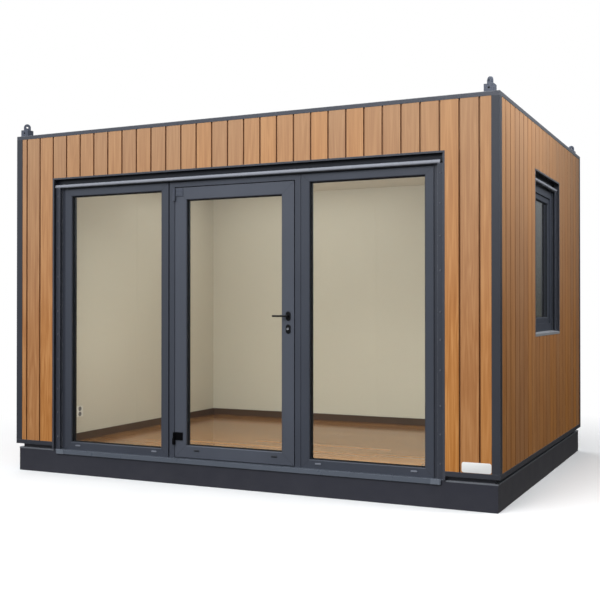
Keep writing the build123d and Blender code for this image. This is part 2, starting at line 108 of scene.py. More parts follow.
def spread(tree, scale, offset=None):
    """Object coordinates, stretched a different amount along each axis."""
    where = add(tree, "ShaderNodeTexCoord").outputs["Object"]
    if offset is not None:
        where = add(tree, "ShaderNodeVectorMath", {0: where, 1: offset}, operation="ADD").outputs[0]
    return add(tree, "ShaderNodeMapping", {"Vector": where, "Scale": scale}).outputs[0]


def noise(tree, where, size=1.0, detail=4.0, rough=0.55, twist=0.0):
    inputs = {"Vector": where, "Scale": size, "Detail": detail, "Roughness": rough, "Distortion": twist}
    return add(tree, "ShaderNodeTexNoise", inputs).outputs["Fac"]


def between(tree, value, low, high, start=0.0, end=1.0):
    inputs = {"Value": value, "From Min": start, "From Max": end, "To Min": low, "To Max": high}
    return add(tree, "ShaderNodeMapRange", inputs).outputs[0]


def times(tree, first, second):
    return add(tree, "ShaderNodeMath", {0: first, 1: second}, operation="MULTIPLY").outputs[0]


def mixed(tree, amount, first, second):
    made = add(tree, "ShaderNodeMix", {"Factor": amount, "A": first, "B": second}, data_type="RGBA")
    return made.outputs["Result"]


def along(tree, vector, direction):
    """How far a vector goes in a direction."""
    made = add(tree, "ShaderNodeVectorMath", {0: vector, 1: direction}, operation="DOT_PRODUCT")
    return made.outputs["Value"]


def height_of(tree):
    where = add(tree, "ShaderNodeTexCoord").outputs["Object"]
    return add(tree, "ShaderNodeSeparateXYZ", {0: where}).outputs["Z"]


def coated(name, tone, rough=0.38, patch=0.08, edge_highlight_amount=0.35, dust=0.0, metal=0.0, gleam=0.5, radius=0.0025):
    """Powder coat: faint patches, an orange-peel skin, a painted highlight along the edges and a film of dust
    low down.
    """
    material, tree = begin(name)
    wide_patches = noise(tree, spread(tree, (1.1, 1.1, 0.7)), 1.6, 5.0)
    value = between(tree, wide_patches, 1 - patch, 1 + patch, 0.3, 0.7)
    tint = add(tree, "ShaderNodeHueSaturation", {"Color": tone, "Value": value}).outputs[0]
    rounded = add(tree, "ShaderNodeBevel", {"Radius": radius}, samples=4).outputs[0]
    straight = add(tree, "ShaderNodeNewGeometry").outputs["Normal"]
    # Painted highlight: the edges lighten towards a pale grey, broken up by noise.
    at_edges = between(tree, along(tree, rounded, straight), edge_highlight_amount, 0.0, 0.72, 0.98)
    edge_breakup = noise(tree, spread(tree, (26, 26, 26)), 1.0, 5.0)
    edge_highlight = times(tree, at_edges, between(tree, edge_breakup, 0.3, 1.0, 0.3, 0.6))
    edge_highlight_tone = screen(178, 181, 188)
    tint = mixed(tree, edge_highlight, tint, edge_highlight_tone)
    low = between(tree, height_of(tree), dust, 0.0, 0.0, 0.35)
    film = times(tree, low, noise(tree, spread(tree, (9, 9, 9)), 1.0, 6.0))
    dust_tone = screen(108, 107, 108)
    tint = mixed(tree, film, tint, dust_tone)
    skin = noise(tree, spread(tree, (420, 420, 420)), 1.0, 2.0)
    relief = {"Height": skin, "Strength": 0.12, "Distance": 0.0004, "Normal": rounded}
    bump = add(tree, "ShaderNodeBump", relief).outputs[0]
    gloss = between(tree, noise(tree, spread(tree, (5, 5, 5)), 1.0, 5.0), rough - 0.06, rough + 0.08)
    inputs = {"Base Color": tint, "Roughness": gloss, "Metallic": metal, "Specular IOR Level": gleam,
              "Normal": bump}
    finish(tree, add(tree, "ShaderNodeBsdfPrincipled", inputs).outputs[0])
    return material


def dress(material, *names):
    """These CAD nodes show this material in place of their plain one."""
    for name in names:
        for place in nodes[name].material_slots:
            place.material = material


def piece(mesh, name, material, body="building", wall="front", smooth=False):
    """The mesh becomes an object in its wall's place, if it has one, and rides on its body."""
    if wall:
        mesh.transform(walls[wall])
    bmesh.ops.remove_doubles(mesh, verts=mesh.verts[:], dist=0.000002)
    bmesh.ops.recalc_face_normals(mesh, faces=mesh.faces[:])
    data = bpy.data.meshes.new(name)
    mesh.to_mesh(data)
    mesh.free()
    if smooth:
        data.polygons.foreach_set("use_smooth", [True] * len(data.polygons))
        data.set_sharp_from_angle(angle=math.radians(40))
    data.materials.append(material)
    made = bpy.data.objects.new(name, data)
    bpy.context.scene.collection.objects.link(made)
    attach(made, body)
    return made


def bevel(mesh, edges, offset, steps=2):
    bmesh.ops.bevel(mesh, geom=edges, offset=offset, offset_type="OFFSET", affect="EDGES", segments=steps,
                    profile=0.5, material=-1)


def block(mesh, u, d, z, ease=0.0, steps=1, turn=None):
    """An eased block between (low, high) pairs along, in and up; turn spins it about its middle."""
    middle = Matrix.Translation(((u[0] + u[1]) / 2, (d[0] + d[1]) / 2, (z[0] + z[1]) / 2))
    size = Matrix.Diagonal((u[1] - u[0], d[1] - d[0], z[1] - z[0], 1))
    place = middle @ (turn or Matrix()) @ size
    made = bmesh.ops.create_cube(mesh, size=1.0, matrix=place)["verts"]
    edges = list(dict.fromkeys(edge for corner in made for edge in corner.link_edges))
    if ease:
        bevel(mesh, edges, ease, steps)
    return edges


plinth_coat = coated("plinth_coat", screen(46, 47, 56), 0.30, 0.10, 0.30, 0.16)
# A paler sheet strip along the plinth's top edge: its tone is a painted highlight for the light the edge
# catches.
highlight_strip = coated("highlight_strip_sheet", screen(104, 107, 113), 0.32, 0.06, 0.1)
dress(plinth_coat, "base_frame", "floor_joists")
plinth_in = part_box("base_frame")[0][0] + wide / 2
plinth_top = 0.192
edge_strip_gauge = 0.0015
edge_strip_lip = 0.010
edge_strip_shelf = 0.022
edge_strip_ease = 0.0005
lap = 0.002
sill_low, sill_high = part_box("front_sill_plate")
for wall, length in wall_lengths.items():
    left, right = plinth_in - lap, length - plinth_in + lap
    spans = [(left, right)]
    if wall == "front":
        spans = [(left, sill_low[0] + wide / 2 - lap), (sill_high[0] + wide / 2 + lap, right)]
    mesh = bmesh.new()
    for span in spans:
        block(mesh, span, (plinth_in - edge_strip_gauge, plinth_in),
              (plinth_top - edge_strip_lip, plinth_top + edge_strip_gauge), edge_strip_ease)
        block(mesh, span, (plinth_in - edge_strip_gauge + edge_strip_ease, plinth_in + edge_strip_shelf),
              (plinth_top, plinth_top + edge_strip_gauge), edge_strip_ease)
    piece(mesh, "highlight_strip_" + wall, highlight_strip, wall=wall)

# Floor. Planks of wood-look laminate are clicked together and lie loose on the deck, and a dark skirting
# board is pinned along the foot of the walls.


def laminate(name):
    """Planks of wood-look laminate, each of another tone, with long grain, fine joints and a satin sheen."""
    material, tree = begin(name)
    plank_length, plank_width, joint = 1.28, 0.192, 0.0016
    inputs = {"Vector": spread(tree, (1, 1, 1)), "Color1": (0, 0, 0, 1), "Color2": (1, 1, 1, 1),
              "Mortar": (0, 0, 0, 1), "Scale": 1.0, "Mortar Size": joint, "Brick Width": plank_length,
              "Row Height": plank_width, "Bias": 0.0, "Mortar Smooth": 0.1}
    planks = add(tree, "ShaderNodeTexBrick", inputs, offset=0.37)
    pick = add(tree, "ShaderNodeRGBToBW", {0: planks.outputs["Color"]}).outputs[0]
    offsets = {"X": times(tree, pick, 7.0), "Y": times(tree, pick, 3.0)}
    shift = add(tree, "ShaderNodeCombineXYZ", offsets).outputs[0]
    grain = noise(tree, spread(tree, (0.5, 9, 9), shift), 1.0, 3.0, 0.45, 0.3)
    ramp = add(tree, "ShaderNodeValToRGB", {"Fac": grain})
    ramp.color_ramp.elements[0].position = 0.28
    ramp.color_ramp.elements[0].color = screen(146, 101, 62)
    ramp.color_ramp.elements[1].position = 0.74
    ramp.color_ramp.elements[1].color = screen(170, 121, 77)
    value = between(tree, pick, 0.76, 1.10)
    tint = add(tree, "ShaderNodeHueSaturation", {"Color": ramp.outputs["Color"], "Value": value}).outputs[0]
    tint = mixed(tree, planks.outputs["Fac"], tint, screen(52, 32, 20))
    rough = between(tree, grain, 0.10, 0.18)
    inputs = {"Base Color": tint, "Roughness": rough, "Specular IOR Level": 0.18}
    finish(tree, add(tree, "ShaderNodeBsdfPrincipled", inputs).outputs[0])
    return material


dress(laminate("floor_laminate"), "floor_deck")
dress(coated("skirting_dark", screen(80, 61, 49), 0.36, 0.12, 0.1), "skirting")

# Corner posts and bottom trim. Square tube and folded sheet, powder-coated; the trim is screwed to the posts
# with small domed screws in the same coat.


def turned(mesh, profile, centre, steps=12, out=-1):
    """A turned part: its (radius, rise) profile is spun round a line that stands straight out of the wall."""
    u, d, z = centre
    points = [mesh.verts.new((u + radius, d + out * rise, z)) for radius, rise in profile]
    edges = [mesh.edges.new(pair) for pair in zip(points, points[1:])]
    bmesh.ops.spin(mesh, geom=points + edges, cent=centre, axis=(0, 1, 0), angle=2 * math.pi, steps=steps,
                   use_merge=True)


def domed(radius, rise):
    """The profile of a screw head: a dome with a shallow socket in its crown."""
    socket = [(0.0, rise * 0.55), (radius * 0.36, rise * 0.5)]
    dome = [(radius * 0.42, rise), (radius * 0.78, rise * 0.8), (radius, 0.0)]
    return socket + dome


post_coat = coated("post_coat", screen(52, 54, 61), 0.30, 0.08, 0.40)
dress(post_coat, "corner_posts", "bottom_trim")
screw_coat = coated("screw_coat", screen(66, 68, 76), 0.30, 0.05, 0.5)
post_middle = 0.0285
post_face = 0.0014
post_screws = (0.42, 0.838, 1.19, 1.545, 1.90, 2.26, 2.62)
trim_screw = 0.241
small_head = domed(0.0050, 0.0013)
for wall, length in wall_lengths.items():
    mesh = bmesh.new()
    for u in (post_middle, length - post_middle):
        for level in (*post_screws, trim_screw):
            turned(mesh, small_head, (u, post_face, level), 10)
    piece(mesh, "post_screws_" + wall, screw_coat, wall=wall, smooth=True)

# Wall and ceiling panels. Insulated panels with a cream coated sheet towards the room; their vertical joints
# are closed with flat cover strips.


def plaster(name, tone):
    material, tree = begin(name)
    wide_patches = noise(tree, spread(tree, (0.8, 0.8, 0.8)), 1.0, 4.0)
    value = between(tree, wide_patches, 0.97, 1.03, 0.3, 0.7)
    tint = add(tree, "ShaderNodeHueSaturation", {"Color": tone, "Value": value}).outputs[0]
    skin = noise(tree, spread(tree, (160, 160, 160)), 1.0, 3.0)
    bump = add(tree, "ShaderNodeBump", {"Height": skin, "Strength": 0.15, "Distance": 0.0004}).outputs[0]
    inputs = {"Base Color": tint, "Roughness": 0.62, "Normal": bump}
    finish(tree, add(tree, "ShaderNodeBsdfPrincipled", inputs).outputs[0])
    return material


wall_cream = plaster("wall_cream", screen(208, 202, 188))
dress(wall_cream, "front_wall_left", "front_wall_right", "front_wall_head", "back_wall", "left_wall",
      "right_wall_front", "right_wall_back", "right_wall_below", "right_wall_above", "roof_panel")
room_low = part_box("skirting")[1][2]
room_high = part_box("roof_panel")[0][2]
panel_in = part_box("skirting")[0][0] + wide / 2
strip_half = 0.015
strip_depth = (panel_in - 0.001, panel_in + 0.0015)
strip_ease = 0.0006
for wall, places in (("back", (0.985, 2.05, 3.115)), ("left", (1.58,))):
    mesh = bmesh.new()
    for u in places:
        block(mesh, (u - strip_half, u + strip_half), strip_depth, (room_low, room_high), strip_ease)
    piece(mesh, "panel_joints_" + wall, wall_cream, wall=wall)

# Cladding. Grooved composite boards stand upright on rails, one beside the other, a shadow groove between
# each two. Each board differs a little in tone, and those at an opening are cut to it.

pitch = 0.1377
groove = 0.010
board_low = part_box("front_cladding")[0][2]
board_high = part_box("front_cladding")[1][2]
board_face = 0.0015
board_back = 0.014
tongue_back = 0.0195
chamfer = 0.0032
post = 0.057
narrow = 0.02
sliver = 0.004
front_edge = 0.002
slack = 0.001
sunk_from = 0.0016
sunk_over = 0.0012
tongue_groove_shade = 0.35


def cut_round(start, end, hole):
    """What is left of a board beside, below and above an opening, as (start, end, low, high)."""
    if hole is None or end <= hole[0] or start >= hole[1]:
        return [(start, end, board_low, board_high)]
    parts = [(start, end, board_low, hole[2])] if hole[2] > board_low else []
    if start < hole[0] - sliver:
        parts.append((start, hole[0], max(hole[2], board_low), hole[3]))
    if end > hole[1] + sliver:
        parts.append((hole[1], end, max(hole[2], board_low), hole[3]))
    parts.append((start, end, hole[3], board_high))
    return parts


def clad(wall, first, hole, *stands_for):
    """Boards along a wall, each with its two long front edges chamfered, over the tongues that join them.
    The tone layer holds each board's own tone, with -1 for the tongues. A second layer says how deep in a
    groove a point is, for painted shade on the chamfers by the grooves; the tongues take a fixed part of it."""
    length = wall_lengths[wall]
    mesh = bmesh.new()
    mesh.verts.layers.float.new("tone")
    groove_shade = mesh.verts.layers.float.new("groove_shade")
    tone = mesh.verts.layers.float["tone"]
    marks = [post - groove / 2]
    while first + pitch < length - post + narrow:
        marks.append(first)
        first += pitch
    if first < length - post - narrow:
        marks.append(first)
    marks.append(length - post + groove / 2)
    for left, right in zip(marks, marks[1:]):
        board = (left + groove / 2, right - groove / 2)
        shade = random.uniform(0.02, 1.0)
        for start, end, low, high in cut_round(*board, hole):
            if high - low < sliver:
                continue
            edges = block(mesh, (start, end), (board_face, board_back), (low, high))
            long_edges = [edge for edge in edges if all(corner.co.y < front_edge for corner in edge.verts)
                          and abs(edge.verts[0].co.z - edge.verts[1].co.z) > slack
                          and (start == board[0] or edge.verts[0].co.x > start + slack)
                          and (end == board[1] or edge.verts[0].co.x < end - slack)]
            if long_edges:
                bevel(mesh, long_edges, chamfer, 2)
        for corner in mesh.verts:
            if corner[tone] == 0.0:
                corner[tone] = shade
    for start, end, low, high in cut_round(post, length - post, hole):
        block(mesh, (start, end), (board_back, tongue_back), (low, high))
    # How deep in a groove each point lies, which the boards' material turns into painted shade; tongues get a
    # fixed part.
    for corner in mesh.verts:
        corner[groove_shade] = min(1.0, max(0.0, (corner.co.y - sunk_from) / sunk_over))
        if corner[tone] == 0.0:
            corner[tone] = -1.0
            corner[groove_shade] = tongue_groove_shade
    made = piece(mesh, wall + "_boards", boards, wall=wall)
    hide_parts(*stands_for)


def make_boards():
    """Embossed wood-and-resin boards: soft arches and fine streaks, paled a little higher up as a painted sky
    sheen, and darkened at the chamfers as painted shade by the grooves.
    """
    material, tree = begin("composite_boards")
    tone = add(tree, "ShaderNodeAttribute", attribute_name="tone").outputs["Fac"]
    offsets = {"X": times(tree, tone, 3.1), "Z": times(tree, tone, 17.0)}
    shift = add(tree, "ShaderNodeCombineXYZ", offsets).outputs[0]
    arches = noise(tree, spread(tree, (12, 12, 0.7), shift), 1.0, 2.0, 0.5, 0.8)
    lines = add(tree, "ShaderNodeMath", {0: times(tree, arches, 42.0)}, operation="SINE").outputs[0]
    streaks = noise(tree, spread(tree, (230, 230, 4.0), shift), 1.0, 6.0, 0.65)
    cloud = noise(tree, spread(tree, (7, 7, 0.9), shift), 1.0, 3.0)
    rings = between(tree, lines, 0.0, 0.12, -1.0, 1.0)
    bands = noise(tree, spread(tree, (62, 62, 2.2), shift), 1.0, 3.0)
    grain = add(tree, "ShaderNodeMath", {0: rings, 1: times(tree, streaks, 0.35)}, operation="ADD").outputs[0]
    grain = add(tree, "ShaderNodeMath", {0: grain, 1: times(tree, bands, 0.60)}, operation="ADD").outputs[0]
    grain = add(tree, "ShaderNodeMath", {0: grain, 1: times(tree, cloud, 0.20)}, operation="ADD").outputs[0]
    ramp = add(tree, "ShaderNodeValToRGB", {"Fac": grain})
    ramp.color_ramp.elements[0].position = 0.39
    ramp.color_ramp.elements[0].color = screen(150, 98, 58)
    ramp.color_ramp.elements[1].position = 0.87
    ramp.color_ramp.elements[1].color = screen(190, 140, 94)
    middle = ramp.color_ramp.elements.new(0.63)
    middle.color = screen(171, 119, 75)
    # Painted sheen: lower down the boards are a little more saturated, and higher up they pale towards a grey
    # beige, as if the sky's sheen lit them.
    painted_sheen_saturation = between(tree, height_of(tree), 1.06, 1.0, 0.2, 1.6)
    inputs = {"Color": ramp.outputs["Color"], "Value": between(tree, tone, 0.89, 1.12),
              "Saturation": times(tree, painted_sheen_saturation, between(tree, tone, 0.96, 1.06))}
    tinted = add(tree, "ShaderNodeHueSaturation", inputs).outputs[0]
    # Painted sheen: the paling towards the top.
    painted_sheen = between(tree, height_of(tree), 0.0, 0.40, 1.2, 2.8)
    tinted = mixed(tree, painted_sheen, tinted, screen(178, 152, 126))
    # Painted shade: the chamfers darken to a dark brown towards the grooves between boards.
    groove_shade = add(tree, "ShaderNodeAttribute", attribute_name="groove_shade").outputs["Fac"]
    tinted = mixed(tree, between(tree, groove_shade, 0.0, 0.85), tinted, screen(104, 60, 32))
    relief = {"Height": streaks, "Strength": 0.30, "Distance": 0.0008}
    bump = add(tree, "ShaderNodeBump", relief).outputs[0]
    rough = between(tree, streaks, 0.40, 0.58)
    inputs = {"Base Color": tinted, "Roughness": rough, "Specular IOR Level": 0.18, "Normal": bump}
    finish(tree, add(tree, "ShaderNodeBsdfPrincipled", inputs).outputs[0])
    return material


boards = make_boards()
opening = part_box("front_opening_trim")
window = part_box("window_trim")
front_hole = (opening[0][0] + wide / 2, opening[1][0] + wide / 2, 0.0, opening[1][2])
window_hole = (window[0][1] + deep / 2, window[1][1] + deep / 2, window[0][2], window[1][2])
wide_first, deep_first = 0.1065, 0.1717
clad("front", wide_first, front_hole, "front_cladding")
clad("right", deep_first, window_hole, "right_cladding")
clad("back", wide_first, None, "back_cladding")
clad("left", deep_first, None, "left_cladding")

# Roof. Ribbed steel sheet inside a folded edge trim, fixed through the ribs with washered screws. A lifting
# lug, a welded block with an eye, is bolted on at each corner.

roof_grey = coated("roof_sheet_coat", screen(150, 153, 158), 0.40, 0.10, 0.15)
dress(roof_grey, "roof_sheet")
dress(coated("roof_trim_coat", screen(68, 70, 78), 0.24, 0.08, 0.85, radius=0.006), "roof_trim")
dress(coated("lug_coat", screen(74, 79, 92), 0.40, 0.12, 0.5), "lifting_lugs")
roof_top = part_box("roof_sheet")[1][2]
steel = coated("bright_steel", screen(190, 192, 196), 0.26, 0.08, 0.1, 0.0, 0.9)
rib_count = 15
rib_pitch = 0.250
screw_rows = 5
row_pitch = 0.62
washer_head = ((0.0, 0.0062), (0.0040, 0.0060), (0.0046, 0.0024), (0.0088, 0.0020), (0.0095, 0.0))
mesh = bmesh.new()
for rib in range(rib_count):
    x = (rib - (rib_count - 1) / 2) * rib_pitch
    for row in range(screw_rows):
        y = (row - (screw_rows - 1) / 2) * row_pitch
        spun = [mesh.verts.new((x + radius, y, roof_top + rise)) for radius, rise in washer_head]
        edges = [mesh.edges.new(pair) for pair in zip(spun, spun[1:])]
        bmesh.ops.spin(mesh, geom=spun + edges, cent=(x, y, roof_top), axis=(0, 0, 1), angle=2 * math.pi,
                       steps=8, use_merge=True)
piece(mesh, "roof_screws", steel, wall=None, smooth=True)

# Opening trims and sills. Folded sheet lines both openings and laps over the boards; the sills are aluminium
# plates, with moulded caps pushed on their ends.


def plate(mesh, u, d, z, corner, ease=0.0):
    """A plate with round corners between two depths (outer face first), its outer edge eased."""
    edges = block(mesh, u, d, z)
    half = abs(d[1] - d[0]) / 2
    across = [edge for edge in edges if abs(edge.verts[0].co.y - edge.verts[1].co.y) > half]
    bevel(mesh, across, corner, 5)
    if ease:
        hair = 0.00001
        face = {vertex for vertex in mesh.verts if abs(vertex.co.y - d[0]) < hair
                and u[0] - hair < vertex.co.x < u[1] + hair and z[0] - hair < vertex.co.z < z[1] + hair}
        outer = [edge for edge in mesh.edges if all(end in face for end in edge.verts)]
        bevel(mesh, outer, ease, 2)


dress(coated("trim_coat", screen(62, 64, 72), 0.30, 0.08, 0.40, radius=0.003), "front_opening_trim")
dress(coated("window_trim_coat", screen(64, 66, 74), 0.30, 0.08, 0.65, radius=0.004), "window_trim")
dress(coated("sill_coat", screen(84, 90, 100), 0.28, 0.08, 0.35), "front_sill_plate")
dress(coated("window_sill_coat", screen(150, 152, 156), 0.32, 0.06, 0.2), "window_sill_plate")
cap_grey = coated("sill_cap_plastic", screen(100, 106, 116), 0.40, 0.05, 0.2)
sill_front = sill_low[1] + deep / 2
cap_top = 0.1975
cap_foot = 0.1605
cap_sheet = 0.002
cap_wrap = 0.004
cap_back = 0.024
cap_ease, shelf_ease = 0.0012, 0.0006
cap_spans = ((0.4165, 0.483), (3.617, 3.6835))
mesh = bmesh.new()
for span in cap_spans:
    block(mesh, span, (sill_front - cap_sheet, sill_front + cap_wrap), (cap_foot, cap_top), cap_ease, 2)
    block(mesh, span, (sill_front + cap_sheet, cap_back), (cap_top - cap_sheet, cap_top), shelf_ease)
piece(mesh, "sill_end_caps", cap_grey)

# Fixed lights. Foiled hollow profiles, mitred and welded at the corners, hold double panes between black
# rubber gaskets, and drain through slots under clip-on caps in their bottom rails.


def foiled(name, tone):
    """Foil with a fine leather grain over a plastic profile."""
    material, tree = begin(name)
    wide_patches = noise(tree, spread(tree, (1.5, 1.5, 0.6)), 1.5, 4.0)
    value = between(tree, wide_patches, 0.93, 1.07, 0.3, 0.7)
    tint = add(tree, "ShaderNodeHueSaturation", {"Color": tone, "Value": value}).outputs[0]
    rounded = add(tree, "ShaderNodeBevel", {"Radius": 0.002}, samples=4).outputs[0]
    skin = noise(tree, spread(tree, (700, 700, 260)), 1.0, 3.0)
    relief = {"Height": skin, "Strength": 0.2, "Distance": 0.0003, "Normal": rounded}
    bump = add(tree, "ShaderNodeBump", relief).outputs[0]
    gloss = between(tree, noise(tree, spread(tree, (3, 3, 3)), 1.0, 4.0), 0.32, 0.48)
    inputs = {"Base Color": tint, "Roughness": gloss, "Normal": bump}
    finish(tree, add(tree, "ShaderNodeBsdfPrincipled", inputs).outputs[0])
    return material


def pane(name, tint, shine):
    """Clear double glazing: what is behind it shows, under a reflection that grows at a flat angle. The faces
    that are seen from inside the glass only let light through."""
    material, tree = begin(name)
    clear = add(tree, "ShaderNodeBsdfTransparent", {"Color": tint}).outputs[0]
    mirror = add(tree, "ShaderNodeBsdfGlossy", {"Color": (1, 1, 1, 1), "Roughness": 0.0}).outputs[0]
    facing = add(tree, "ShaderNodeFresnel", {"IOR": 1.5}).outputs[0]
    inner = add(tree, "ShaderNodeNewGeometry").outputs["Backfacing"]
    outer = add(tree, "ShaderNodeMath", {0: 1.0, 1: inner}, operation="SUBTRACT").outputs[0]
    amount = times(tree, times(tree, facing, shine), outer)
    finish(tree, add(tree, "ShaderNodeMixShader", {0: amount, 1: clear, 2: mirror}).outputs[0])
    return material


def rubber(name, tone):
    material, tree = begin(name)
    skin = noise(tree, spread(tree, (260, 260, 260)), 1.0, 4.0)
    bump = add(tree, "ShaderNodeBump", {"Height": skin, "Strength": 0.25, "Distance": 0.0003}).outputs[0]
    rough = between(tree, skin, 0.55, 0.75)
    inputs = {"Base Color": tone, "Roughness": rough, "Normal": bump}
    finish(tree, add(tree, "ShaderNodeBsdfPrincipled", inputs).outputs[0])
    return material


def rim(mesh, u, z, d, width, rise, ease):
    """A mitred strip round the inside of a rectangle, standing out of the plane at d, its edges rounded."""
    outline = ((u[0], z[0]), (u[1], z[0]), (u[1], z[1]), (u[0], z[1]))
    corners = [mesh.verts.new((place, d, level)) for place, level in outline]
    centre = mesh.faces.new(corners)
    centre.normal_update()
    around = bmesh.ops.inset_region(mesh, faces=[centre], thickness=width, use_even_offset=True,
                                    use_boundary=True)["faces"]
    bmesh.ops.delete(mesh, geom=[centre], context="FACES_ONLY")
    drawn = bmesh.ops.extrude_face_region(mesh, geom=around)["geom"]
    raised = [part for part in drawn if isinstance(part, bmesh.types.BMVert)]
    bmesh.ops.translate(mesh, vec=(0, rise, 0), verts=raised)
    mesh.normal_update()
    edges = [part for part in drawn if isinstance(part, bmesh.types.BMEdge) and part.calc_face_angle(0) > 0.5]
    bevel(mesh, edges, ease, 2)


def pane_span(name, wall="front"):
    """A pane's or frame's span along, in and up in its wall's own measures."""
    low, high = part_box(name)
    up = (low[2], high[2])
    if wall == "front":
        return (low[0] + wide / 2, high[0] + wide / 2), (low[1] + deep / 2, high[1] + deep / 2), up
    return (low[1] + deep / 2, high[1] + deep / 2), (wide / 2 - high[0], wide / 2 - low[0]), up


foil = foiled("foiled_profile", screen(58, 62, 72))
gasket_rubber = rubber("gasket_rubber", screen(14, 15, 18))
dress(foil, "left_light_frame", "right_light_frame", "door_frame", "window_frame", "window_sash")
dress(pane("front_glass", (0.93, 0.95, 0.93, 1), 1.8), "left_light_glass", "right_light_glass", "door_glass")


def gasket(name, glass, wall="front", body="building"):
    """The rubber seals that show outside and inside between a pane and its frame."""
    u, d, z = pane_span(glass, wall)
    hidden, hidden_foot = 0.0118, 0.0138
    u = (u[0] + hidden, u[1] - hidden)
    z = (z[0] + hidden_foot, z[1] - hidden)
    off_glass, width, rise, ease = 0.0004, 0.0058, 0.0046, 0.0014
    mesh = bmesh.new()
    rim(mesh, u, z, d[0] - off_glass, width, -rise, ease)
    rim(mesh, u, z, d[1] + off_glass, width, rise, ease)
    piece(mesh, name, gasket_rubber, body, wall, smooth=True)


gasket("left_light_gaskets", "left_light_glass")
gasket("right_light_gaskets", "right_light_glass")

cap_coat = foiled("drain_cap_plastic", screen(112, 116, 126))
dark_cap = foiled("dark_cap_plastic", screen(40, 42, 48))
seam_tone = rubber("weld_seam", screen(30, 31, 36))
frame_face = pane_span("left_light_frame")[1][0]


def drain_caps(name, places, level, material, body="building"):
    """Rounded caps over the drain slots of a bottom rail, at places along it."""
    half_length, half_height = 0.024, 0.0065
    proud, seated = 0.0045, 0.0005
    corner, ease = 0.006, 0.0012
    mesh = bmesh.new()
    for u in places:
        plate(mesh, (u - half_length, u + half_length), (frame_face - proud, frame_face + seated),
              (level - half_height, level + half_height), corner, ease)
    piece(mesh, name, material, body, smooth=True)


drain_caps("left_light_drain_caps", (0.603, 1.345), 0.232, cap_coat)
drain_caps("right_light_drain_caps", (2.759, 3.486), 0.232, cap_coat)


def welds(name, framed, day, body="building", wall="front"):
    """Fine weld lines across a frame's face at its four mitres, from its outer corner in to the daylight."""
    u, d, z = pane_span(framed, wall)
    left, right, foot, head = day
    short, half_line, share = 0.008, 0.0006, 0.47
    proud, seated = 0.00025, 0.0004
    mesh = bmesh.new()
    for place, level, du, dz in ((u[0], z[0], left, foot), (u[1], z[0], -right, foot),
                                 (u[0], z[1], left, -head), (u[1], z[1], -right, -head)):
        reach = math.hypot(du, dz) - short
        lean = Matrix.Rotation(-math.atan2(dz, du), 4, "Y")
        middle = (place + du * share, level + dz * share)
        block(mesh, (middle[0] - reach / 2, middle[0] + reach / 2), (d[0] - proud, d[0] + seated),
              (middle[1] - half_line, middle[1] + half_line), turn=lean)
    piece(mesh, name, seam_tone, body, wall)


welds("left_light_welds", "left_light_frame", (0.064, 0.068, 0.064, 0.062))
welds("right_light_welds", "right_light_frame", (0.068, 0.064, 0.064, 0.062))

# Door. A wide glazed leaf of the same profiles hangs on three-knuckle hinges and closes with a multi-point
# lock; lever, roses and hinges are coated black, the top hinge under a cover of the frame's colour.

# The leaf's foil is a lighter copy of the frames' foil: painted light on the leaf.
dress(foiled("door_foil_painted_light", screen(70, 74, 84)), "door_leaf")
gasket("door_gaskets", "door_glass", body="door")
drain_caps("door_drain_caps", (1.735, 2.402), 0.262, dark_cap, "door")
welds("door_welds", "door_leaf", (0.103, 0.103, 0.093, 0.096), "door")


def hinge_coat():
    """Black low down, and above the middle of the door the frame's colour."""
    material, tree = begin("hinge_coat")
    upper = between(tree, height_of(tree), 0.0, 1.0, 1.2, 1.3)
    tint = mixed(tree, upper, screen(7, 7, 9), screen(78, 82, 92))
    rounded = add(tree, "ShaderNodeBevel", {"Radius": 0.0015}, samples=4).outputs[0]
    skin = noise(tree, spread(tree, (500, 500, 500)), 1.0, 3.0)
    relief = {"Height": skin, "Strength": 0.15, "Distance": 0.0003, "Normal": rounded}
    bump = add(tree, "ShaderNodeBump", relief).outputs[0]
    rough = between(tree, noise(tree, spread(tree, (20, 20, 20))), 0.34, 0.5)
    inputs = {"Base Color": tint, "Roughness": rough, "Specular IOR Level": 0.06, "Normal": bump}
    finish(tree, add(tree, "ShaderNodeBsdfPrincipled", inputs).outputs[0])
    return material


black_coat = coated("black_coat", screen(10, 10, 12), 0.34, 0.06, 0.10, 0.0, 0.0, 0.3)
dress(hinge_coat(), "hinge_jamb_plates", "hinge_leaf_plates")
dress(black_coat, "lock_plates", "door_lever")
lock_low, lock_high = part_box("lock_plates")
lock_u = (lock_low[0] + lock_high[0]) / 2 + wide / 2
cylinder_rise = 0.034
lock_z = lock_low[2] + cylinder_rise
lock_sides = ((lock_low[1] + deep / 2, -1), (lock_high[1] + deep / 2, 1))
cylinder = [(0.0, 0.0003), (0.0052, 0.0003), (0.0056, 0.0010), (0.0080, 0.0010), (0.0087, 0.0004),
            (0.0087, -0.0045)]
mesh = bmesh.new()
for plane, out in lock_sides:
    turned(mesh, cylinder, (lock_u, plane, lock_z), 24, out)
piece(mesh, "lock_cylinders", steel, "door", smooth=True)
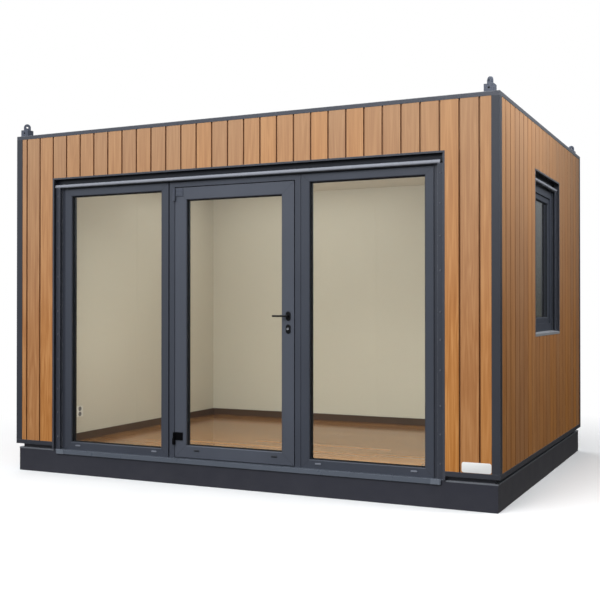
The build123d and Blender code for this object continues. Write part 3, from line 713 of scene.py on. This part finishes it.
# Black slips set proud on the cylinders stand for the key slots: painted shade where the slots would be dark.
half_slot, half_key, key_proud, key_ease = 0.0008, 0.0040, 0.0006, 0.0002
mesh = bmesh.new()
for plane, out in lock_sides:
    front = plane + out * key_proud
    block(mesh, (lock_u - half_slot, lock_u + half_slot), (min(front, plane), max(front, plane)),
          (lock_z - half_key, lock_z + half_key), key_ease)
piece(mesh, "keyhole_painted_shade", gasket_rubber, "door")
leaf_u, leaf_d = pane_span("door_leaf")[:2]
leaf_edge = leaf_u[1]
leaf_middle = (leaf_d[0] + leaf_d[1]) / 2
faceplate = ((-0.001, 0.0012), 0.010, (0.60, 1.95), 0.0005, 1)
latch = ((0.001, 0.0045), 0.006, (1.285, 1.315), 0.001, 2)
bolt = ((0.001, 0.0022), 0.005, (1.188, 1.222), 0.0005, 1)
mesh = bmesh.new()
for reach, half, levels, ease, steps in (faceplate, latch, bolt):
    block(mesh, (leaf_edge + reach[0], leaf_edge + reach[1]), (leaf_middle - half, leaf_middle + half),
          levels, ease, steps)
piece(mesh, "lock_faceplate", steel, "door", smooth=True)
lock_gap = 0.0075
jamb_face = leaf_edge + lock_gap
keep_span = (jamb_face - 0.0010, jamb_face + 0.0005)
keep_half, keep_tall, keep_ease = 0.011, 0.07, 0.0004
keep_levels = (0.78, 1.25, 1.76)
mesh = bmesh.new()
for level in keep_levels:
    block(mesh, keep_span, (leaf_middle - keep_half, leaf_middle + keep_half),
          (level - keep_tall, level + keep_tall), keep_ease)
piece(mesh, "lock_keeps", steel)
hinge_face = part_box("hinge_leaf_plates")[0][1] + deep / 2
hinge_head = domed(0.0042, 0.0012)
hinge_levels = (0.3463, 0.3803, 2.2410, 2.2710)
hinge_places = (1.566, 1.596)
mesh = bmesh.new()
for level in hinge_levels:
    for u in hinge_places:
        turned(mesh, hinge_head, (u, hinge_face, level), 10)
piece(mesh, "hinge_screws", hinge_coat(), "door", smooth=True)

# Side window. A tilt-and-turn sash with its gaskets closes in a frame of the same profiles, which is screwed
# into the right wall's opening. Its coated handle is inside.

# The side pane lets through much less light than the front panes: painted shade that darkens what shows
# through it.
dress(pane("side_glass_painted_shade", (0.42, 0.46, 0.43, 1), 1.9), "window_glass")
gasket("window_gaskets", "window_glass", "right")
welds("window_frame_welds", "window_frame", (0.064, 0.064, 0.064, 0.062), wall="right")
welds("window_sash_welds", "window_sash", (0.056, 0.056, 0.056, 0.056), wall="right")
sash_u, sash_d = pane_span("window_sash", "right")[:2]
handle_in = 0.028
handle_u = sash_u[0] + handle_in
sash_inside = sash_d[1]
rose_half, rose_face, rose_seated, rose_levels, rose_corner = 0.014, 0.008, 0.001, (1.70, 1.765), 0.008
grip_half, grip_depth, grip_levels, grip_corner = 0.009, (0.044, 0.032), (1.610, 1.745), 0.0085
neck = [(0.0, 0.034), (0.0085, 0.034), (0.010, 0.031), (0.010, -0.002)]
neck_level = 1.7325
mesh = bmesh.new()
plate(mesh, (handle_u - rose_half, handle_u + rose_half),
      (sash_inside + rose_face, sash_inside - rose_seated), rose_levels, rose_corner)
turned(mesh, neck, (handle_u, sash_inside + rose_face, neck_level), 16, 1)
plate(mesh, (handle_u - grip_half, handle_u + grip_half),
      (sash_inside + grip_depth[0], sash_inside + grip_depth[1]), grip_levels, grip_corner)
piece(mesh, "window_handle", black_coat, wall="right", smooth=True)

# Shutters. Boxes, guide rails and the bottom bars of the raised shutters are coated aluminium; the rails are
# screwed through their ridges, and the bars have black caps on their ends and a rubber lip below.

dress(coated("shutter_box_coat", screen(24, 27, 37), 0.35, 0.06, 0.2), "shutter_boxes")
dress(coated("guide_coat", screen(55, 58, 67), 0.30, 0.08, 0.60, radius=0.004), "shutter_guides")
dress(coated("bar_coat", screen(140, 143, 152), 0.26, 0.05, 0.2), "shutter_bars")
ridge_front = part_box("shutter_guides")[0][1] + deep / 2
bar_low, bar_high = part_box("shutter_bars")
bar_front = bar_low[1] + deep / 2
bar_foot = bar_low[2]
bar_deep = 0.024
bar_end = 0.004
rail_in = 0.038
front_bar = (bar_low[0] + wide / 2, front_hole[1] - bar_end)
window_bar = (window_hole[0] + bar_end, window_hole[1] - bar_end)
front_levels = (0.30, 0.50, 0.693, 0.935, 1.142, 1.332, 1.615, 1.850, 2.074, 2.28)
window_levels = (1.25, 1.52, 1.79, 2.06, 2.28)
guide_head = domed(0.0080, 0.0032)
grown = 0.0008
bar_corner = 0.0105
lip_in = 0.09
lip_depth = (bar_front + 0.008, bar_front + 0.016)
lip_levels = (bar_foot - 0.008, bar_foot + 0.002)
lip_ease = 0.003
for wall, hole, levels, bar, caps in (
    ("front", front_hole, front_levels, front_bar, (0.006, 0.034)),
    ("right", window_hole, window_levels, window_bar, (0.012, 0.012)),
):
    mesh = bmesh.new()
    for u in (hole[0] + rail_in, hole[1] - rail_in):
        for level in levels:
            turned(mesh, guide_head, (u, ridge_front, level))
    piece(mesh, wall + "_guide_screws", screw_coat, wall=wall, smooth=True)
    mesh = bmesh.new()
    for start, end in ((bar[0], bar[0] + caps[0]), (bar[1] - caps[1], bar[1])):
        edges = block(mesh, (start, end), (bar_front - grown, bar_front + bar_deep + grown),
                      (bar_foot - grown, bar_high[2] + grown))
        long_way = 0.9 * (end - start)
        lengthwise = [edge for edge in edges if abs(edge.verts[0].co.x - edge.verts[1].co.x) > long_way]
        bevel(mesh, lengthwise, bar_corner, 6)
    piece(mesh, wall + "_bar_caps", black_coat, wall=wall, smooth=True)
    mesh = bmesh.new()
    block(mesh, (bar[0] + lip_in, bar[1] - lip_in), lip_depth, lip_levels, lip_ease, 3)
    piece(mesh, wall + "_bar_lip", gasket_rubber, wall=wall, smooth=True)

# Socket. A double outlet of white moulded plastic, screwed to a box in the left wall. Each of its two faces
# is a round well with two pin holes, drawn as a raised ring round a grey disc with two black dots: the grey
# and the black are painted shade for the recesses.

dress(coated("socket_white", screen(232, 230, 224), 0.25, 0.02, 0.0), "wall_socket")
socket_low, socket_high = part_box("wall_socket")
socket_u = deep / 2 - (socket_low[1] + socket_high[1]) / 2
socket_face = socket_high[0] + wide / 2
# Grey for the floor of each well: painted shade in a recess.
well_painted_shade = coated("socket_well", screen(120, 120, 122), 0.35, 0.02, 0.0)
middle_level = (socket_low[2] + socket_high[2]) / 2
outlets_apart = 0.046
outlet_levels = (middle_level - outlets_apart / 2, middle_level + outlets_apart / 2)
well = [(0.0, 0.0004), (0.0175, 0.0004), (0.0182, 0.0018), (0.0200, 0.0018), (0.0206, -0.0002)]
pin_hole = [(0.0, 0.0007), (0.0024, 0.0007), (0.0024, 0.0)]
pin_apart = 0.019
mesh = bmesh.new()
for level in outlet_levels:
    turned(mesh, well, (socket_u, socket_face, level), 24, 1)
piece(mesh, "socket_wells", well_painted_shade, wall="left", smooth=True)
mesh = bmesh.new()
for level in outlet_levels:
    for u in (socket_u - pin_apart / 2, socket_u + pin_apart / 2):
        turned(mesh, pin_hole, (u, socket_face, level), 10, 1)
piece(mesh, "socket_holes", gasket_rubber, wall="left", smooth=True)

# Plate. A thin white sheet with round corners is glued over the boards at the foot of the front wall, beside
# the right post, and left bare.

plate_span, plate_depth, plate_levels = (3.838, 4.040), (0.0002, 0.0030), (0.2595, 0.3285)
plate_corner, plate_ease = 0.014, 0.0004
mesh = bmesh.new()
plate(mesh, plate_span, plate_depth, plate_levels, plate_corner, plate_ease)
piece(mesh, "blank_plate", coated("plate_white", screen(226, 226, 224), 0.30, 0.02, 0.0), smooth=True)

# Stage, light and camera. A pale floor under soft daylight that fades into a white backdrop, a bright sky for
# what is glossy, and a little light in the room.

bpy.ops.mesh.primitive_plane_add(size=90, location=(0, 0, -0.001))
ground = bpy.context.object
ground.name = "ground"
ground_paint, tree = begin("ground_paint")
rays = add(tree, "ShaderNodeLightPath").outputs
where = add(tree, "ShaderNodeTexCoord").outputs["Object"]
away = add(tree, "ShaderNodeVectorMath", {0: where}, operation="LENGTH").outputs["Value"]
back_right = (0.43, 0.90, 0.0)
fade_start, fade_end = 2.9, 5.0
tone = mixed(tree, rays["Is Camera Ray"], (0.14, 0.14, 0.14, 1), (0.93, 0.93, 0.93, 1))
lit = add(tree, "ShaderNodeBsdfPrincipled", {"Base Color": tone, "Roughness": 0.9}).outputs[0]
white = add(tree, "ShaderNodeEmission", {"Color": (1, 1, 1, 1), "Strength": 1.0}).outputs[0]
faded = times(tree, rays["Is Camera Ray"], between(tree, away, 0.0, 1.0, fade_start, fade_end))
open_floor = add(tree, "ShaderNodeMixShader", {0: faded, 1: lit, 2: white}).outputs[0]
shade = between(tree, along(tree, where, back_right), 1.0, 0.3, 0.0, 6.0)
strength = times(tree, between(tree, away, 0.10, 0.18, 3.0, 30.0), shade)
mirrored = add(tree, "ShaderNodeEmission", {"Color": (1.0, 0.95, 0.90, 1), "Strength": strength}).outputs[0]
seen = {0: rays["Is Glossy Ray"], 1: open_floor, 2: mirrored}
finish(tree, add(tree, "ShaderNodeMixShader", seen).outputs[0])
ground.data.materials.append(ground_paint)

world = bpy.data.worlds.new("daylight")
bpy.context.scene.world = world
world.use_nodes = True
tree = world.node_tree
tree.nodes.clear()
rays = add(tree, "ShaderNodeLightPath").outputs
toward = add(tree, "ShaderNodeTexCoord").outputs["Generated"]
brightest = (-0.60, -0.56, 0.57)
strength = between(tree, along(tree, toward, brightest), 0.08, 1.25, -0.45, 0.9)
sky = add(tree, "ShaderNodeBackground", {"Color": (0.94, 0.97, 1.0, 1), "Strength": strength}).outputs[0]
upward = add(tree, "ShaderNodeSeparateXYZ", {0: toward}).outputs["Z"]
shade = between(tree, along(tree, toward, back_right), 1.0, 0.45, 0.3, 0.95)
strength = times(tree, between(tree, upward, 0.16, 1.7, 0.0, 0.45), shade)
mirrored = add(tree, "ShaderNodeBackground", {"Color": (0.90, 0.95, 1.0, 1), "Strength": strength}).outputs[0]
sky = add(tree, "ShaderNodeMixShader", {0: rays["Is Glossy Ray"], 1: sky, 2: mirrored}).outputs[0]
backdrop = add(tree, "ShaderNodeBackground", {"Color": (1, 1, 1, 1), "Strength": 1.0}).outputs[0]
both = add(tree, "ShaderNodeMixShader", {0: rays["Is Camera Ray"], 1: sky, 2: backdrop}).outputs[0]
add(tree, "ShaderNodeOutputWorld", {"Surface": both})


def lamp(name, place, aim, power, size, tint=(1, 1, 1)):
    """A soft rectangular lamp that neither the camera nor a mirror sees."""
    data = bpy.data.lights.new(name, "AREA")
    data.energy = power
    data.color = tint
    data.shape = "RECTANGLE"
    data.size, data.size_y = size
    made = bpy.data.objects.new(name, data)
    made.location = place
    made.rotation_euler = (Vector(aim) - Vector(place)).to_track_quat("-Z", "Y").to_euler()
    made.visible_camera = False
    made.visible_glossy = False
    bpy.context.scene.collection.objects.link(made)


lamp("daylight_front", (-1.1, -9.2, 7.0), (0.3, 0, 1.2), 530, (6, 6))
lamp("daylight_right", (1.35, -5.2, 3.4), (1.75, -1.58, 0.8), 34, (1.3, 1.3))
lamp("daylight_back", (-3.4, 7.6, 5.6), (-0.4, 1.2, 1.2), 120, (4.0, 4.0))
lamp("daylight_corner", (3.75, -1.05, 3.9), (2.05, 0.0, 2.3), 74, (1.2, 1.2))
lamp("room_light", (0.2, -1.30, 1.15), (0.0, 1.4, 1.05), 42, (3.2, 2.0), (1.0, 0.985, 0.96))
lamp("room_back", (-0.7, 0.45, 2.55), (-0.7, 0.60, 0), 9, (2.0, 1.4), (1.0, 0.985, 0.96))

camera = bpy.data.objects.new("camera", bpy.data.cameras.new("camera"))
bpy.context.scene.collection.objects.link(camera)
camera.location = (3.5918, -7.8991, 1.3659)
camera.rotation_euler = (math.radians(90.42), 0, math.radians(25.42))
camera.data.lens = 57.96
camera.data.sensor_width = 36
bpy.context.scene.camera = camera
bpy.context.scene.view_settings.view_transform = "Standard"
